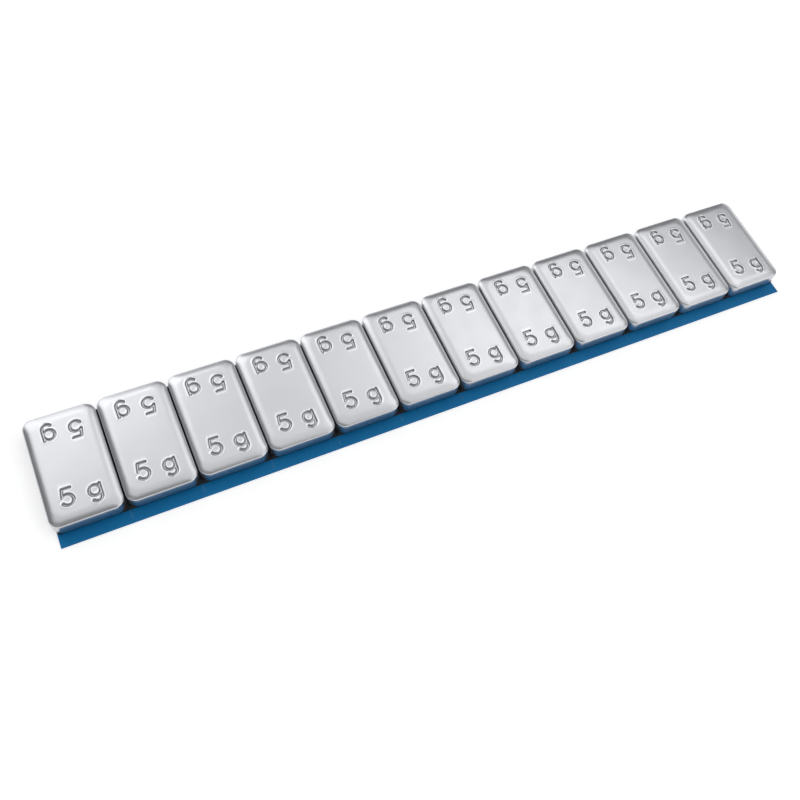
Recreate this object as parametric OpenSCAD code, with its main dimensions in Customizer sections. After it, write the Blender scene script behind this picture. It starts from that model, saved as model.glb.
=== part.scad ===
// Adhesive wheel balance weights: a row of pressed steel weights on a foam tape with a release liner.
// Row frame: X along the row, Y across it with the liner's pull edge at -Y, Z up from the liner's underside.

/* [Row] */
// Number of weights in the row
weight_count = 12; // [2:1:16]
// Length of one weight along the row
weight_l = 11.4; // [8:0.05:16]
// Gap between two weights, where they stand closest
weight_gap = 0.2; // [0.15:0.05:1.5]
// Width of one weight across the row
weight_w = 19; // [14:0.1:25]
// Height of one weight
weight_h = 3.1; // [2.4:0.05:5]

/* [Pressed edges] */
// Radius of the upright corners, seen from above
corner_r = 1.7; // [1.65:0.05:3]
// Distance in from the wall at which the top starts to fall away
crown_w = 1.55; // [1.1:0.05:1.6]
// Slope of the top where it meets the tight edge, in degrees
crown_tilt = 25; // [15:1:35]
// Radius of the tight edge between the sloping top and the wall
edge_r = 0.6; // [0.3:0.05:0.8]
// Radius of the edge around the underside
foot_r = 0.25; // [0.1:0.05:0.4]

/* [Foam tape] */
// Thickness of the double-sided foam tape
foam_t = 0.6; // [0.4:0.05:1.2]
// Width of the knife cut that parts the tape between two weights
kerf_w = 0.1; // [0.05:0.01:0.25]
// How far the tape and the liner stop short of the first weight's end
start_inset = 0.35; // [0:0.05:0.6]
// How far the tape and the liner run past the last weight's end
end_overrun = 0.1; // [0:0.05:0.6]

/* [Release liner] */
// Thickness of the liner film
liner_t = 0.12; // [0.08:0.01:0.3]
// How far the liner stands out in front of the weights as a pull edge
pull_edge = 2; // [0:0.1:5]
// Depth of the score that the tape knife leaves in the liner
score_depth = 0.03; // [0.01:0.01:0.05]

/* [Hidden] */
$fn = 64;
EPS = 0.01;
// distance from one weight to the next
pitch = weight_l + weight_gap;
row_l = (weight_count - 1) * pitch + weight_l;
row_start = -row_l / 2;
tape_start = row_start + start_inset;
tape_end = row_start + row_l + end_overrun;
foam_z = liner_t;
weight_z = foam_z + foam_t;
// broad crown arc, tangent to the flat top and to the tight edge arc
crown_r = (crown_w - edge_r) / sin(crown_tilt) + edge_r;
// height of the tight edge arc's centre, where the plumb wall ends
wall_top = weight_h - crown_r + (crown_r - edge_r) * cos(crown_tilt);

WEIGHTS = [for (i = [1:weight_count]) str("weight_", i)];
PADS = [for (i = [1:weight_count]) str("foam_pad_", i)];

// X of the middle of weight i, counted from 0
function weight_x(i) = row_start + weight_l / 2 + i * pitch;

// X of the cut between weight i - 1 and weight i, in the middle of the gap
function cut_x(i) = weight_x(i) - pitch / 2;

// Section of a pressed edge, from the middle out to the wall at x = reach
module edge_section(reach) {
    crown_x = reach - crown_w;
    difference() {
        intersection() {
            square([reach, weight_h]);
            union() {
                square([crown_x, weight_h]);
                square([reach, wall_top]);
                translate([reach - edge_r, wall_top])
                    circle(r = edge_r);
                translate([crown_x, weight_h - crown_r])
                    crown_sector();
            }
        }
        translate([reach - foot_r, 0])
            foot_corner();
    }
}

// Slice of the crown arc's circle, from upright to the crown's slope
module crown_sector() {
    far = 2 * crown_r;
    intersection() {
        circle(r = crown_r);
        polygon([[0, 0], [0, far], [far * sin(crown_tilt), far * cos(crown_tilt)]]);
    }
}

// What the foot radius takes off the lower outer corner of the section
module foot_corner() {
    difference() {
        translate([0, -EPS])
            square([foot_r + EPS, foot_r + EPS]);
        translate([0, foot_r])
            circle(r = foot_r);
    }
}

// Section with both of its walls, for a span across the weight
module whole_section(span) {
    edge_section(span / 2);
    mirror([1, 0])
        edge_section(span / 2);
}

// One pressed weight: the section run along both directions, and revolved at the four corners
module pressed_weight() {
    straight_l = weight_l - 2 * corner_r;
    straight_w = weight_w - 2 * corner_r;
    translate([0, straight_w / 2, 0])
        rotate([90, 0, 0])
            linear_extrude(height = straight_w)
                whole_section(weight_l);
    translate([-straight_l / 2, 0, 0])
        rotate([90, 0, 90])
            linear_extrude(height = straight_l)
                whole_section(weight_w);
    for (sx = [-1, 1], sy = [-1, 1])
        translate([sx * straight_l / 2, sy * straight_w / 2, 0])
            rotate_extrude()
                edge_section(corner_r);
}

// Weight i of the row, standing on its foam pad
module weight(i) {
    color("silver")
        translate([weight_x(i), 0, weight_z])
            pressed_weight();
}

// Foam pad i: the tape under one weight, parted from its neighbours by the knife
module foam_pad(i) {
    first_x = i == 0 ? tape_start : cut_x(i) + kerf_w / 2;
    last_x = i == weight_count - 1 ? tape_end : cut_x(i + 1) - kerf_w / 2;
    color("#1c1c1e")
        translate([first_x, -weight_w / 2, foam_z])
            cube([last_x - first_x, weight_w, foam_t]);
}

// Release liner: one film under the whole tape, with a pull edge and a score at each cut
module release_liner() {
    front_y = -weight_w / 2 - pull_edge;
    color("#13609a")
        difference() {
            translate([tape_start, front_y, 0])
                cube([tape_end - tape_start, weight_w + pull_edge, liner_t]);
            for (i = [1:weight_count - 1])
                translate([cut_x(i) - kerf_w / 2, front_y - EPS, liner_t - score_depth])
                    cube([kerf_w, weight_w + pull_edge + 2 * EPS, score_depth + EPS]);
        }
}

for (i = [0:weight_count - 1]) {
    weight(i);
    foam_pad(i);
}
release_liner();
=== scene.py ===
"""Looks for a row of adhesive wheel balance weights: plated steel on black foam tape with a blue liner.

Shapes are worked out in millimetres, in axes that start at one corner of a weight, and go into the meshes
in metres, in the row's frame: X along the row, Y across it with the liner's pull edge at -Y, Z up from the
liner's underside.
"""
import math

import bpy
import numpy as np
from mathutils import Matrix, Vector


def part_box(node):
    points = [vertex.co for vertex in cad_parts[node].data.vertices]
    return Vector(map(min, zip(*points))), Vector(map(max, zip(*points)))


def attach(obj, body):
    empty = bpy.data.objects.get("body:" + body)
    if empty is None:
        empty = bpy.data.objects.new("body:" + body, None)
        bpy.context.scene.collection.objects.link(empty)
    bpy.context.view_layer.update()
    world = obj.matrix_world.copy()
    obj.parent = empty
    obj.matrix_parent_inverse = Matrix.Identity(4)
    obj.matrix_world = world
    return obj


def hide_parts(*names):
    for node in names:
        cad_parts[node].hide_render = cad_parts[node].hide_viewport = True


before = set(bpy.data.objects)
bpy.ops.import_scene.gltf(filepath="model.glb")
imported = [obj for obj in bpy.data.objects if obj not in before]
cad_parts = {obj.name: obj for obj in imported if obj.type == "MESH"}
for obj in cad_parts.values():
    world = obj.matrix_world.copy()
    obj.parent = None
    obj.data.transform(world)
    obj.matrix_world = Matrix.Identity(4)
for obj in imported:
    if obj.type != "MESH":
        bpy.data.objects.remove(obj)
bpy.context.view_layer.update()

MM = 0.001
BODY = "root"
COUNT = sum(name.startswith("weight_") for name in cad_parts)

# The pressed edge of a weight, in millimetres and degrees, and the steps of its three arcs. The plating
# shows a tighter EDGE_R than the plain solid has, and the other sizes are the solid's.
CORNER_R = 1.7
CROWN_W = 1.55
CROWN_TILT = 25
EDGE_R = 0.4
FOOT_R = 0.25
CROWN_STEPS = 7
EDGE_STEPS = 8
FOOT_STEPS = 3
# The crown as the eye sees it: how far in from the wall it starts to fall, the radius that its rounder
# level lines would have in a corner at the wall, and the power of the way out by which it falls.
SOFT_REACH = 1.84
SOFT_CORNER = 2.7
SOFT_POWER = 2.6
# How much lower than its middle the top of a weight lies at its corners.
TOP_DOME = 0.04

# The mass figure that is pressed into each weight twice, in millimetres. MARK_BASE is the base line of the
# front row of marks, and FIGURE_X and UNIT_X are where the figure's and the unit's own axes start.
MARK_BASE = 2.81
FIGURE_X = 2.8
UNIT_X = 6.85
# The section across a stroke: how far from its centre line its bottom ends, how far its wall ends, how deep
# it is, and then the rim beside it: its height, its distance from the centre line, and half its width.
BOTTOM_HALF = 0.04
GROOVE_HALF = 0.28
GROOVE_DEPTH = 0.31
RIM_HEIGHT = 0.03
RIM_AT = 0.38
RIM_HALF = 0.09
# The grid's steps over the marks, beside them, and between their two rows. The fine steps begin FINE_BEFORE
# ahead of FIGURE_X, end FINE_AFTER beyond UNIT_X, and reach FINE_ABOVE over MARK_BASE.
FINE_STEP = 0.053
SIDE_STEP = 0.15
MIDDLE_STEP = 0.5
FINE_BEFORE = 0.4
FINE_AFTER = 2.1
FINE_ABOVE = 3.15

# Strokes in a mark's own axes. A line is ("line", x0, y0, x1, y1). An arc, with its angles in degrees, is
# ("arc", x, y, radius, start, sweep).
FIGURE_FIVE = [
    ("line", 0.3, 2.78, 1.55, 2.78),
    ("line", 0.3, 2.78, 0.1, 1.45),
    ("arc", 0.8, 0.9, 0.9, 142, -290),
]
UNIT_GRAM = [
    ("arc", 0.84, 0.96, 0.86, 0, 360),
    ("line", 1.7, 1.9, 1.7, -0.1),
    ("arc", 0.92, -0.1, 0.78, 0, -140),
]

# The foam tape, in millimetres. It stops TAPE_INSET short of the steel at each side that shows. Its points
# stand FOAM_STEP apart round a pad, and in FOAM_ROWS rows between the adhesive layers, which take up
# ADHESIVE_SHARE of the height each. The cut foam is hollow by FOAM_HOLLOW, and rough by FOAM_ROUGH.
TAPE_INSET = 0.25
FOAM_STEP = 0.16
FOAM_ROWS = 4
FOAM_HOLLOW = 0.05
FOAM_ROUGH = 0.05
ADHESIVE_SHARE = 0.1
FOAM_SEED = 5


def box_mm(node):
    """Lowest and highest corner of a CAD node, in millimetres."""
    low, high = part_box(node)
    return np.array(low) / MM, np.array(high) / MM


def smooth_step(t):
    """Rises from 0 to 1 as t does, level at both ends: 3t squared less 2t cubed."""
    t = np.clip(t, 0, 1)
    return t * t * (3 - 2 * t)


def pressed_section(height):
    """Inset from the wall and height of each row, from the top's corner centres round to the underside.

    The broad crown arc and the tight edge arc meet where both slope by CROWN_TILT. On an arc of radius r
    about a centre at inset c, a row whose surface has turned by angle a lies at inset c - r sin a, and
    r cos a higher than the centre.
    """
    tilt = math.radians(CROWN_TILT)
    crown_r = (CROWN_W - EDGE_R) / math.sin(tilt) + EDGE_R
    wall_top = height - crown_r + (crown_r - EDGE_R) * math.cos(tilt)
    crown = np.linspace(0, tilt, CROWN_STEPS + 1)
    edge = np.linspace(tilt, math.pi / 2, EDGE_STEPS + 1)[1:]
    foot = np.linspace(math.pi / 2, math.pi, FOOT_STEPS + 1)
    inset = np.concatenate([
        CROWN_W - crown_r * np.sin(crown),
        EDGE_R - EDGE_R * np.sin(edge),
        FOOT_R - FOOT_R * np.sin(foot),
    ])
    level = np.concatenate([
        height - crown_r + crown_r * np.cos(crown),
        wall_top + EDGE_R * np.cos(edge),
        FOOT_R + FOOT_R * np.cos(foot),
    ])
    return inset, level


def crown_fall(x, y, length, width, inset, edge_inset, edge_fall):
    """How far the top has fallen at a point of the crown: edge_fall times the power SOFT_POWER of a share.

    The share is how far out the point lies: (SOFT_REACH - inset) / (SOFT_REACH - edge_inset). The inset
    from the walls turns from the section's own, at the tight edge, into one whose level lines are rounder
    at the corners: SOFT_CORNER less the length of (SOFT_CORNER - x, SOFT_CORNER - y), with both distances
    taken from the nearer wall.
    """
    near_x = np.maximum(SOFT_CORNER - np.minimum(x, length - x), 0)
    near_y = np.maximum(SOFT_CORNER - np.minimum(y, width - y), 0)
    rounder = SOFT_CORNER - np.hypot(near_x, near_y)
    inset = inset + (rounder - inset) * smooth_step((inset - edge_inset) / (CORNER_R - edge_inset))
    return edge_fall * (np.maximum(SOFT_REACH - inset, 0) / (SOFT_REACH - edge_inset)) ** SOFT_POWER


def stroke_distance(x, y, strokes):
    """Distance from each point to the nearest stroke's centre line.

    For a line it is the distance to the point's foot on it, held between its ends. For an arc it is the gap
    between the point's radius and the arc's, or the distance to the nearer end outside the arc's sweep.
    """
    best = np.full(np.shape(x), np.inf)
    for kind, *numbers in strokes:
        if kind == "line":
            x0, y0, x1, y1 = numbers
            span = np.array([x1 - x0, y1 - y0])
            along = np.clip(((x - x0) * span[0] + (y - y0) * span[1]) / (span @ span), 0, 1)
            found = np.hypot(x - x0 - along * span[0], y - y0 - along * span[1])
        else:
            cx, cy, radius, start, sweep = numbers
            turned = np.degrees(np.arctan2(y - cy, x - cx)) - start
            inside = (turned * np.sign(sweep)) % 360 <= abs(sweep)
            to_ends = [
                np.hypot(x - cx - radius * np.cos(end), y - cy - radius * np.sin(end))
                for end in np.radians([start, start + sweep])
            ]
            found = np.where(inside, abs(np.hypot(x - cx, y - cy) - radius), np.minimum(*to_ends))
        best = np.minimum(best, found)
    return best


def mark_distance(x, y):
    """Distance to the strokes of the row of marks that stands at the front edge."""
    figure = stroke_distance(x - FIGURE_X, y - MARK_BASE, FIGURE_FIVE)
    unit = stroke_distance(x - UNIT_X, y - MARK_BASE, UNIT_GRAM)
    return np.minimum(figure, unit)


def pressed_marks(x, y, length, width):
    """Depth of the marks at each point, and how much the point is on their walls and on their rims.

    The back row is the front one turned by half a turn. The depth is full as far as BOTTOM_HALF from a
    centre line, and eases to nothing at GROOVE_HALF. With s as the share of the full depth, the wall's
    number is 4 s (1 - s): 1 half-way down, 0 on the top and on the bottom. The steel that the punch pushed
    out stands as a low rim, whose number is a bell curve about RIM_AT, and RIM_HALF is half its width.
    """
    gap = np.minimum(mark_distance(x, y), mark_distance(length - x, width - y))
    share = 1 - smooth_step((gap - BOTTOM_HALF) / (GROOVE_HALF - BOTTOM_HALF))
    rim = np.exp(-(((gap - RIM_AT) / RIM_HALF) ** 2))
    return GROOVE_DEPTH * share - RIM_HEIGHT * rim, 4 * share * (1 - share), rim


def stretch(start, end, step):
    """Evenly spaced values from start up to end, which the next stretch brings."""
    return np.linspace(start, end, max(1, round((end - start) / step)), endpoint=False)


def grid_lines(length, width):
    """X and Y of the grid's lines between the corner centres, close together where the marks are.

    The X lines are made alike from both ends, because the back row of marks is the front one turned.
    """
    fine_left = FIGURE_X - FINE_BEFORE
    fine_right = UNIT_X + FINE_AFTER
    x = np.concatenate([
        stretch(CORNER_R, fine_left, SIDE_STEP),
        stretch(fine_left, fine_right, FINE_STEP),
        stretch(fine_right, length - CORNER_R, SIDE_STEP),
        [length - CORNER_R],
    ])
    x = np.sort((x + length - x[::-1]) / 2)
    fine_top = MARK_BASE + FINE_ABOVE
    y = np.concatenate([
        stretch(CORNER_R, fine_top, FINE_STEP),
        stretch(fine_top, width - fine_top, MIDDLE_STEP),
        stretch(width - fine_top, width - CORNER_R, FINE_STEP),
        [width - CORNER_R],
    ])
    return x, y


def weight_surface(length, width, height):
    """Points of a pressed weight on a grid, and how much each is on the walls and rims of the marks.

    Inside the corner centres the grid is flat, with the marks let into it. Outside, each square ring of the
    grid is one row of the section: it goes round the outline, with as many steps round a corner as the ring
    is far out, so that a corner's block of the grid is a quarter of a disc. As far as the tight edge, a
    point's height is the weight's less crown_fall, and beyond it the section's own. Then all of it is
    domed: the top falls by the squares of both distances from its middle, taken no further than the corner
    centres, and a lower point falls less, in proportion to its height.
    """
    inset, level = pressed_section(height)
    rings = len(inset)
    line_x, line_y = grid_lines(length, width)
    step_x = np.arange(-rings, len(line_x) + rings)
    step_y = np.arange(-rings, len(line_y) + rings)
    out_x = np.minimum(step_x, 0) + np.maximum(step_x - len(line_x) + 1, 0)
    out_y = np.minimum(step_y, 0) + np.maximum(step_y - len(line_y) + 1, 0)
    base_x = line_x[np.clip(step_x, 0, len(line_x) - 1)][:, None]
    base_y = line_y[np.clip(step_y, 0, len(line_y) - 1)][None, :]
    rings_x = np.abs(out_x)[:, None]
    rings_y = np.abs(out_y)[None, :]
    ring = np.maximum(rings_x, rings_y)
    share = np.minimum(rings_x, rings_y) / np.maximum(ring, 1)
    angle = np.where(rings_x >= rings_y, share, 2 - share) * math.pi / 4
    reach = np.concatenate([[0], CORNER_R - inset])[ring]
    x = base_x + reach * np.cos(angle) * np.sign(out_x)[:, None]
    y = base_y + reach * np.sin(angle) * np.sign(out_y)[None, :]
    from_wall = np.concatenate([[CORNER_R], inset])[ring]
    edge_inset = inset[CROWN_STEPS]
    edge_fall = height - level[CROWN_STEPS]
    crown = height - crown_fall(x, y, length, width, from_wall, edge_inset, edge_fall)
    z = np.where(ring <= CROWN_STEPS + 1, crown, np.concatenate([[height], level])[ring])
    depth, wall, rim = pressed_marks(x, y, length, width)
    on_top = ring == 0
    fall_x = (base_x - length / 2) / (length / 2 - CORNER_R)
    fall_y = (base_y - width / 2) / (width / 2 - CORNER_R)
    z = z - TOP_DOME * (fall_x**2 + fall_y**2) / 2 * (z / height)
    z = np.minimum(z - np.where(on_top, depth, 0), height)
    return np.stack([x, y, z], axis=-1), np.where(on_top, wall, 0), np.where(on_top, rim, 0)


def sheet_faces(columns, rows):
    """Four-sided faces of a grid of points, anticlockwise seen from above."""
    first = np.arange(columns * rows).reshape(columns, rows)
    corners = [first[:-1, :-1], first[1:, :-1], first[1:, 1:], first[:-1, 1:]]
    return np.stack(corners, axis=-1).reshape(-1, 4)


def border_of(columns, rows):
    """The points round a grid's border, clockwise seen from above, so that a face on them looks down."""
    first = np.arange(columns * rows).reshape(columns, rows)
    sides = [first[0, :-1], first[:-1, -1], first[-1, :0:-1], first[:0:-1, 0]]
    return np.concatenate(sides)


def add_piece(name, points_mm, faces, node, material):
    """Makes a smooth piece of the object that stands for a CAD node."""
    mesh = bpy.data.meshes.new(name)
    mesh.from_pydata((points_mm.reshape(-1, 3) * MM).tolist(), [], faces)
    mesh.polygons.foreach_set("use_smooth", np.ones(len(mesh.polygons), dtype=bool))
    mesh.materials.append(material)
    mesh.update()
    piece = bpy.data.objects.new(name, mesh)
    bpy.context.scene.collection.objects.link(piece)
    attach(piece, BODY)
    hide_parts(node)
    return piece


def add_weights(material):
    """The steel weights, each in its CAD node's box, closed underneath by one flat face."""
    for number in range(1, COUNT + 1):
        node = f"weight_{number}"
        low, high = box_mm(node)
        points, wall, rim = weight_surface(*(high - low))
        columns, rows = wall.shape
        faces = sheet_faces(columns, rows).tolist() + [border_of(columns, rows).tolist()]
        piece = add_piece(f"steel_{node}", points + low, faces, node, material)
        for mark, values in (("mark_wall", wall), ("mark_rim", rim)):
            carried = piece.data.attributes.new(mark, "FLOAT", "POINT")
            carried.data.foreach_set("value", values.ravel().astype(np.float32))


def cut_foam_surface(low, high, rng):
    """Points of a foam pad's cut side: rows round a rectangle, with the row as the second grid number.

    The foam between the two adhesive layers is drawn in by FOAM_HOLLOW times the sine of the share of its
    height, and each point goes in by up to FOAM_ROUGH more at random, as cells that the knife opened.
    """
    length, width, height = high - low
    along = stretch(0, length, FOAM_STEP)
    across = stretch(0, width, FOAM_STEP)
    around = np.concatenate([
        np.stack([along, np.zeros_like(along)], axis=-1),
        np.stack([np.full_like(across, length), across], axis=-1),
        np.stack([length - along, np.full_like(along, width)], axis=-1),
        np.stack([np.zeros_like(across), width - across], axis=-1),
    ])
    between = np.linspace(ADHESIVE_SHARE, 1 - ADHESIVE_SHARE, FOAM_ROWS + 2)
    share = np.concatenate([[0], between, [1]])
    inner = (share - ADHESIVE_SHARE) / (1 - 2 * ADHESIVE_SHARE)
    hollow = FOAM_HOLLOW * np.sin(math.pi * np.clip(inner, 0, 1))
    rough = FOAM_ROUGH * rng.random((len(around), len(share))) * ((inner > 0) & (inner < 1))
    drawn_in = (hollow + rough)[:, :, None]
    middle = np.array([length / 2, width / 2])
    half = middle - drawn_in
    flat = middle + (around[:, None, :] - middle) / middle * half
    level = np.broadcast_to(share * height, flat.shape[:2])
    return np.concatenate([flat, level[:, :, None]], axis=-1)


def add_foam_pads(material):
    """The foam tape's pads, one under each weight, closed by a flat face above and below.

    The tape stops short of the steel at the front, at the back and at the row's two ends.
    """
    rng = np.random.default_rng(FOAM_SEED)
    for number in range(1, COUNT + 1):
        node = f"foam_pad_{number}"
        low, high = box_mm(node)
        low = low + np.array([TAPE_INSET * (number == 1), TAPE_INSET, 0])
        high = high - np.array([TAPE_INSET * (number == COUNT), TAPE_INSET, 0])
        points = cut_foam_surface(low, high, rng)
        steps, rows = points.shape[:2]
        first = np.arange(steps * rows).reshape(steps, rows)
        after = np.roll(first, -1, axis=0)
        corners = [first[:, :-1], after[:, :-1], after[:, 1:], first[:, 1:]]
        sides = np.stack(corners, axis=-1).reshape(-1, 4)
        faces = sides.tolist() + [first[::-1, 0].tolist(), first[:, -1].tolist()]
        piece = add_piece(f"tape_{node}", points + low, faces, node, material)


def new_material(name):
    """A material with nodes, its tree, its Principled shader and the piece's own coordinates in metres."""
    material = bpy.data.materials.new(name)
    material.use_nodes = True
    tree = material.node_tree
    shader = tree.nodes["Principled BSDF"]
    place = tree.nodes.new("ShaderNodeTexCoord").outputs["Object"]
    return material, tree, shader, place


def noise(tree, place, size_mm, detail=2.0, roughness=0.5):
    """Soft random pattern whose lumps are about size_mm across, from 0 to 1."""
    node = tree.nodes.new("ShaderNodeTexNoise")
    node.inputs["Scale"].default_value = 1 / (size_mm * MM)
    node.inputs["Detail"].default_value = detail
    node.inputs["Roughness"].default_value = roughness
    tree.links.new(place, node.inputs["Vector"])
    return node.outputs["Fac"]


def ranged(tree, value, to_low, to_high, from_low=0.3, from_high=0.7):
    """The value carried from one range to another, and held inside it.

    The range that it comes from, where none is given, is the one in which a noise mostly lies.
    """
    node = tree.nodes.new("ShaderNodeMapRange")
    node.inputs["From Min"].default_value = from_low
    node.inputs["From Max"].default_value = from_high
    node.inputs["To Min"].default_value = to_low
    node.inputs["To Max"].default_value = to_high
    tree.links.new(value, node.inputs["Value"])
    return node.outputs["Result"]


def worked(tree, operation, *values):
    """A Math node on one or two values, each a socket or a number."""
    node = tree.nodes.new("ShaderNodeMath")
    node.operation = operation
    for socket, value in zip(node.inputs, values):
        if isinstance(value, (int, float)):
            socket.default_value = value
        else:
            tree.links.new(value, socket)
    return node.outputs["Value"]


def mixed(tree, share, first, second):
    """A colour between two, each a socket or three numbers.

    For colours the node's two values are its inputs 6 and 7, and its result is output 2.
    """
    node = tree.nodes.new("ShaderNodeMix")
    node.data_type = "RGBA"
    tree.links.new(share, node.inputs["Factor"])
    for socket, value in ((node.inputs[6], first), (node.inputs[7], second)):
        if isinstance(value, tuple):
            socket.default_value = (*value, 1)
        else:
            tree.links.new(value, socket)
    return node.outputs[2]


def bumped(tree, height, depth_mm, below=None):
    """A surface direction bent by a height pattern that is depth_mm deep."""
    node = tree.nodes.new("ShaderNodeBump")
    node.inputs["Strength"].default_value = 1.0
    node.inputs["Distance"].default_value = depth_mm * MM
    tree.links.new(height, node.inputs["Height"])
    if below is not None:
        tree.links.new(below, node.inputs["Normal"])
    return node.outputs["Normal"]


def attribute(tree, name):
    """A number that the mesh carries for each of its points."""
    node = tree.nodes.new("ShaderNodeAttribute")
    node.attribute_name = name
    return node.outputs["Fac"]


PLATING_DARKER = (0.596, 0.603, 0.624)
PLATING_LIGHTER = (0.616, 0.623, 0.642)
# Painted highlight: the rims beside the marks get a lighter colour where their raised lips would catch the
# light.
RIM_PAINTED_HIGHLIGHT = (0.8, 0.81, 0.83)
# Painted shade: the marks' walls get a darker colour where shade falls in the grooves. Their added
# roughness, WALL_ROUGHER, is real.
WALL_PAINTED_SHADE = (0.34, 0.34, 0.35)
WALL_ROUGHER = 0.05


def plated_steel():
    """Satin zinc plating with soft dents from the barrel. The marks' rims have a painted highlight and their
    walls a painted shade, and the walls are rougher.
    """
    material, tree, shader, place = new_material("plated_steel")
    shader.inputs["Metallic"].default_value = 1.0
    clouds = ranged(tree, noise(tree, place, size_mm=7, detail=1), to_low=0, to_high=1)
    plating = mixed(tree, clouds, PLATING_DARKER, PLATING_LIGHTER)
    # The rims beside the marks get a painted highlight.
    rim_highlighted = mixed(tree, attribute(tree, "mark_rim"), plating, RIM_PAINTED_HIGHLIGHT)
    wall = attribute(tree, "mark_wall")
    # The marks' walls get a painted shade.
    tree.links.new(mixed(tree, wall, rim_highlighted, WALL_PAINTED_SHADE), shader.inputs["Base Color"])
    satin = ranged(tree, noise(tree, place, size_mm=3, detail=1), to_low=0.28, to_high=0.31)
    duller = worked(tree, "MULTIPLY", wall, WALL_ROUGHER)
    tree.links.new(worked(tree, "ADD", satin, duller), shader.inputs["Roughness"])
    dents = noise(tree, place, size_mm=3.5, detail=0)
    tree.links.new(bumped(tree, dents, depth_mm=0.012), shader.inputs["Normal"])
    return material


FOAM_DARKER = (0.008, 0.008, 0.009)
FOAM_LIGHTER = (0.022, 0.022, 0.024)
FOAM_CELL = 0.16


def foam_tape():
    """Matte black closed-cell foam, with cut cells as small hollows, FOAM_CELL millimetres across."""
    material, tree, shader, place = new_material("foam_tape")
    shade = ranged(tree, noise(tree, place, size_mm=0.3), to_low=0, to_high=1)
    tree.links.new(mixed(tree, shade, FOAM_DARKER, FOAM_LIGHTER), shader.inputs["Base Color"])
    shader.inputs["Roughness"].default_value = 0.92
    cells = tree.nodes.new("ShaderNodeTexVoronoi")
    cells.inputs["Scale"].default_value = 1 / (FOAM_CELL * MM)
    tree.links.new(place, cells.inputs["Vector"])
    tree.links.new(bumped(tree, cells.outputs["Distance"], depth_mm=0.05), shader.inputs["Normal"])
    return material


FILM_DARKER = (0.003, 0.171, 0.425)
FILM_LIGHTER = (0.006, 0.192, 0.455)
# The pale mark at a score: its colour, and in millimetres half its width, how far in front of the steel it
# is still whole, and how far in front it ends.
SCORE_PALE = (0.09, 0.26, 0.45)
SCORE_HALF = 0.22
SCORE_WHOLE = 1.0
SCORE_END = 1.7


def liner_film(first_cut_mm, pitch_mm, steel_front_mm):
    """Blue release film with a soft sheen and low ripples, and a pale stress mark where the knife scored it.

    The score nearest to a point lies at a whole number of pitches from the first cut. The mark fades over
    SCORE_HALF to each side, and from SCORE_WHOLE to SCORE_END in front of the steel.
    """
    material, tree, shader, place = new_material("liner_film")
    split = tree.nodes.new("ShaderNodeSeparateXYZ")
    tree.links.new(place, split.inputs["Vector"])
    from_cut = worked(tree, "SUBTRACT", split.outputs["X"], first_cut_mm * MM)
    pitches = worked(tree, "DIVIDE", from_cut, pitch_mm * MM)
    nearest = worked(tree, "ROUND", pitches)
    off_cut = worked(tree, "ABSOLUTE", worked(tree, "SUBTRACT", pitches, nearest))
    across = ranged(tree, off_cut, to_low=1, to_high=0, from_low=0, from_high=SCORE_HALF / pitch_mm)
    end_y = (steel_front_mm - SCORE_END) * MM
    whole_y = (steel_front_mm - SCORE_WHOLE) * MM
    ahead = ranged(tree, split.outputs["Y"], to_low=0, to_high=1, from_low=end_y, from_high=whole_y)
    patchy = ranged(tree, noise(tree, place, size_mm=0.5), to_low=0.1, to_high=0.6)
    score = worked(tree, "MULTIPLY", worked(tree, "MULTIPLY", across, ahead), patchy)
    clouds = ranged(tree, noise(tree, place, size_mm=9), to_low=0, to_high=1)
    film = mixed(tree, clouds, FILM_DARKER, FILM_LIGHTER)
    tree.links.new(mixed(tree, score, film, SCORE_PALE), shader.inputs["Base Color"])
    shader.inputs["Specular IOR Level"].default_value = 0.15
    sheen = ranged(tree, noise(tree, place, size_mm=0.6, detail=3), to_low=0.36, to_high=0.5)
    tree.links.new(sheen, shader.inputs["Roughness"])
    ripples = bumped(tree, noise(tree, place, size_mm=5, detail=1), depth_mm=0.08)
    grain = noise(tree, place, size_mm=0.15, detail=3)
    tree.links.new(bumped(tree, grain, depth_mm=0.004, below=ripples), shader.inputs["Normal"])
    return material


def dress_liner():
    """Gives the CAD liner its film. It is already the right shape, with a score at each gap."""
    first_low, first_high = box_mm("weight_1")
    next_low, _ = box_mm("weight_2")
    pitch = next_low[0] - first_low[0]
    first_cut = (first_high[0] + next_low[0]) / 2
    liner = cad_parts["release_liner"]
    liner.data.materials.clear()
    liner.data.materials.append(liner_film(first_cut, pitch, first_low[1]))


# The photograph's camera, in millimetres and degrees: where it stands, what it looks at, how it is turned
# about its own axis, and its focal length as a share of the picture's width.
CAMERA_AT = (-51.88, -61.83, 130.28)
CAMERA_TARGET = (-11.62, -8.33, 3.82)
CAMERA_ROLL = 14.37
FOCAL_SHARE = 852.6 / 800
SENSOR_MM = 36
CLIP_START_MM = 10


def add_camera():
    """The camera looks from its place to its target, then is turned about that line."""
    at = Vector(CAMERA_AT) * MM
    target = Vector(CAMERA_TARGET) * MM
    lens = bpy.data.cameras.new("camera")
    lens.sensor_width = SENSOR_MM
    lens.lens = FOCAL_SHARE * SENSOR_MM
    lens.clip_start = CLIP_START_MM * MM
    camera = bpy.data.objects.new("camera", lens)
    level = (target - at).to_track_quat("-Z", "Y").to_matrix().to_4x4()
    roll = Matrix.Rotation(math.radians(CAMERA_ROLL), 4, "Z")
    camera.matrix_world = Matrix.Translation(at) @ level @ roll
    bpy.context.scene.collection.objects.link(camera)
    bpy.context.scene.camera = camera


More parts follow.
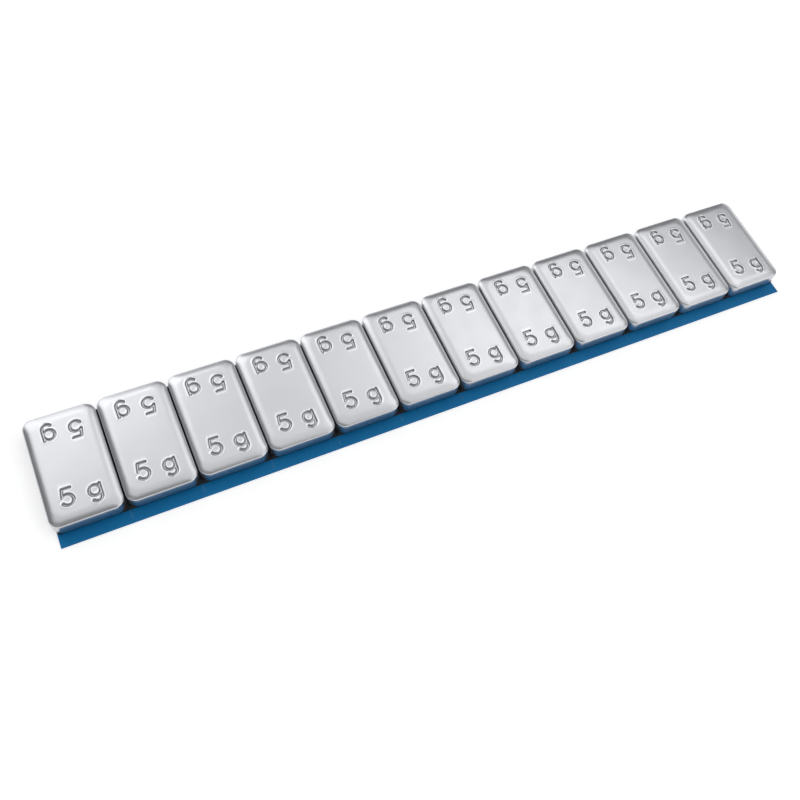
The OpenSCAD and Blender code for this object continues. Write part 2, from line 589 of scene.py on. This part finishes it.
# Each soft box: its name, the azimuth from +X and the elevation it stands at as seen from the row, the
# angles it covers across and up, all in degrees, and how bright it looks, where 1 is white. They all stand
# BOX_DISTANCE metres from the row's middle.
SOFT_BOXES = [
    ("back_left", 110, 39, 32, 42, 1.55),
    ("back_right", 29, 53, 36, 23, 0.77),
    ("side_right", -42, 31, 52, 62, 0.82),
    ("overhead", 45, 75, 62, 55, 0.7),
    ("front_low", -90, 19, 72, 20, 0.33),
    ("back_low", 98, 9, 80, 16, 0.78),
    ("fill_left", 215, 48, 40, 36, 0.25),
    ("right_low", 20, 13, 34, 26, 0.74),
    ("left_low", 165, 8, 70, 16, 0.5),
]
BOX_DISTANCE = 1.5


def add_soft_box(name, azimuth, elevation, across, up, brightness):
    """A flat light that faces the row. Its power is its brightness times pi times its area."""
    width = 2 * BOX_DISTANCE * math.tan(math.radians(across / 2))
    height = 2 * BOX_DISTANCE * math.tan(math.radians(up / 2))
    light = bpy.data.lights.new(name, "AREA")
    light.shape = "RECTANGLE"
    light.size = width
    light.size_y = height
    light.energy = brightness * math.pi * width * height
    box = bpy.data.objects.new(name, light)
    bearing = math.radians(azimuth)
    climb = math.radians(elevation)
    towards = Vector((
        math.cos(bearing) * math.cos(climb),
        math.sin(bearing) * math.cos(climb),
        math.sin(climb),
    ))
    turn = (-towards).to_track_quat("-Z", "Y").to_matrix().to_4x4()
    box.matrix_world = Matrix.Translation(towards * BOX_DISTANCE) @ turn
    bpy.context.scene.collection.objects.link(box)


# The room has the colour ROOM_TINT up to the horizon, and fades to ROOM_GREY of it at ROOM_FADE degrees.
ROOM_TINT = (0.97, 0.985, 1.0)
ROOM_GREY = 0.2
ROOM_FADE = 10


def add_world():
    """A room that fades from white to grey with the height of the direction that is looked in."""
    world = bpy.data.worlds.new("room")
    world.use_nodes = True
    tree = world.node_tree
    background = tree.nodes["Background"]
    background.inputs["Color"].default_value = (*ROOM_TINT, 1)
    split = tree.nodes.new("ShaderNodeSeparateXYZ")
    tree.links.new(tree.nodes.new("ShaderNodeTexCoord").outputs["Generated"], split.inputs["Vector"])
    fade_z = math.sin(math.radians(ROOM_FADE))
    level = ranged(tree, split.outputs["Z"], to_low=1, to_high=ROOM_GREY, from_low=0, from_high=fade_z)
    tree.links.new(level, background.inputs["Strength"])
    bpy.context.scene.world = world


# The floor, in metres: how far it reaches from the row's middle, and how far under the liner it lies. Then
# how pale it is, and how much light is added to what is seen of it.
FLOOR_REACH = 1.3
FLOOR_DROP = 0.00002
FLOOR_ALBEDO = 0.8
FLOOR_LIFT = 0.46


def add_floor():
    """A pale floor. What the eye and the steel see of it is lifted to white, and its shadows stay."""
    mesh = bpy.data.meshes.new("floor")
    far = FLOOR_REACH
    low = -FLOOR_DROP
    corners = [(-far, -far, low), (far, -far, low), (far, far, low), (-far, far, low)]
    mesh.from_pydata(corners, [], [(0, 1, 2, 3)])
    material = bpy.data.materials.new("floor")
    material.use_nodes = True
    tree = material.node_tree
    shader = tree.nodes["Principled BSDF"]
    shader.inputs["Base Color"].default_value = (FLOOR_ALBEDO,) * 3 + (1,)
    shader.inputs["Roughness"].default_value = 0.9
    shader.inputs["Specular IOR Level"].default_value = 0.0
    shader.inputs["Emission Color"].default_value = (1, 1, 1, 1)
    path = tree.nodes.new("ShaderNodeLightPath")
    seen = worked(tree, "MAXIMUM", path.outputs["Is Camera Ray"], path.outputs["Is Glossy Ray"])
    seen = worked(tree, "MAXIMUM", seen, path.outputs["Is Transmission Ray"])
    tree.links.new(worked(tree, "MULTIPLY", seen, FLOOR_LIFT), shader.inputs["Emission Strength"])
    mesh.materials.append(material)
    floor = bpy.data.objects.new("floor", mesh)
    bpy.context.scene.collection.objects.link(floor)


add_camera()
add_weights(plated_steel())
add_foam_pads(foam_tape())
dress_liner()
add_world()
add_floor()
for soft_box in SOFT_BOXES:
    add_soft_box(*soft_box)
bpy.context.scene.view_settings.view_transform = "Standard"
